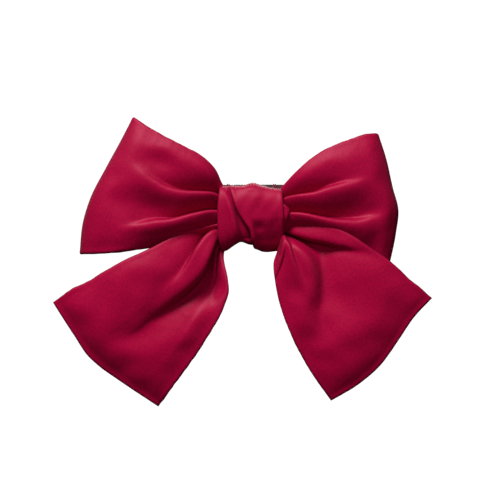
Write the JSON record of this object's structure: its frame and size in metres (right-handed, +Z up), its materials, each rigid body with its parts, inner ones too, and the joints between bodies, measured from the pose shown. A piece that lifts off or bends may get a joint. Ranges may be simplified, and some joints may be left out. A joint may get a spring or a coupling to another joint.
{
  "type": "hair bow",
  "caption": "Large soft satin hair bow with two open loops, two tails and a wrapped knot, hand-bound to a sprung steel hair clip.",
  "frame": {"origin": "middle of the clip's hair gap, between the tension bar and the closed clasp arm, on the clip's long centre line", "axes": "+X to the right of someone looking at the bow's face and along the clip, +Z up, the bow's face looks along -Y and the wearer's head is on the +Y side"},
  "size_m": [0.2038, 0.0392, 0.1559],
  "materials": {
    "satin": "crimson polyester satin with a soft sheen",
    "thread": "matched polyester sewing thread",
    "felt": "thin dyed felt",
    "steel": "nickel-plated spring steel"
  },
  "bodies": {
    "bow": {"knot_over_wrap": "satin", "knot_under_wrap": "satin", "gathered_core": "satin", "gather_thread": "thread", "knot_closing_stitches": "thread", "clip_pad": "felt", "clip_binding_stitches": "thread", "clip_base_plate": "steel", "clip_hinge_pin": "steel", "clip_latch_saddle": "steel", "clip_latch_rivet": "steel"},
    "left_loop": {"left_loop": "satin"},
    "right_loop": {"right_loop": "satin"},
    "left_tail": {"left_tail": "satin"},
    "right_tail": {"right_tail": "satin"},
    "clasp_arm": {"clip_clasp_arm": "steel"},
    "tension_bar": {"clip_tension_bar": "steel"},
    "latch_prong_upper": {"clip_latch_prong_upper": "steel"},
    "latch_prong_lower": {"clip_latch_prong_lower": "steel"}
  },
  "joints": [
    {"name": "clasp_arm_hinge", "type": "hinge", "parent": "bow", "child": "clasp_arm", "pos_m": [-0.038, 0.0056, 0], "axis": [0, 0, 1], "range_deg": [0, 110]},
    {"name": "tension_bar_flex", "type": "hinge", "parent": "bow", "child": "tension_bar", "pos_m": [-0.0288, 0.00062, 0], "axis": [0, 0, 1], "range_deg": [-1, 0], "stiffness_Nm_per_rad": 0.05},
    {"name": "latch_squeeze_upper", "type": "hinge", "parent": "bow", "child": "latch_prong_upper", "pos_m": [0.03526, 0.002, 0.00195], "axis": [-0.9581, -0.2863, 0], "range_deg": [0, 11], "stiffness_Nm_per_rad": 0.002},
    {"name": "latch_squeeze_lower", "type": "hinge", "parent": "bow", "child": "latch_prong_lower", "pos_m": [0.03526, 0.002, -0.00195], "axis": [0.9581, 0.2863, 0], "range_deg": [0, 11], "stiffness_Nm_per_rad": 0.002},
    {"name": "left_tail_lift", "type": "hinge", "parent": "bow", "child": "left_tail", "pos_m": [-0.0208, -0.0219, -0.0194], "axis": [-0.7001, 0, 0.7141], "range_deg": [0, 50], "stiffness_Nm_per_rad": 0.004},
    {"name": "right_tail_lift", "type": "hinge", "parent": "bow", "child": "right_tail", "pos_m": [0.0212, -0.0219, -0.0172], "axis": [-0.753, 0, -0.658], "range_deg": [0, 50], "stiffness_Nm_per_rad": 0.004},
    {"name": "left_loop_fold", "type": "hinge", "parent": "bow", "child": "left_loop", "pos_m": [-0.013, -0.0164, -0.008], "axis": [0, 0, -1], "range_deg": [0, 12], "stiffness_Nm_per_rad": 0.01},
    {"name": "right_loop_fold", "type": "hinge", "parent": "bow", "child": "right_loop", "pos_m": [0.013, -0.0164, -0.008], "axis": [0, 0, 1], "range_deg": [0, 12], "stiffness_Nm_per_rad": 0.01}
  ],
  "couplings": [
    {"joint": "latch_squeeze_lower", "follows": "latch_squeeze_upper", "ratio": 1}
  ]
}
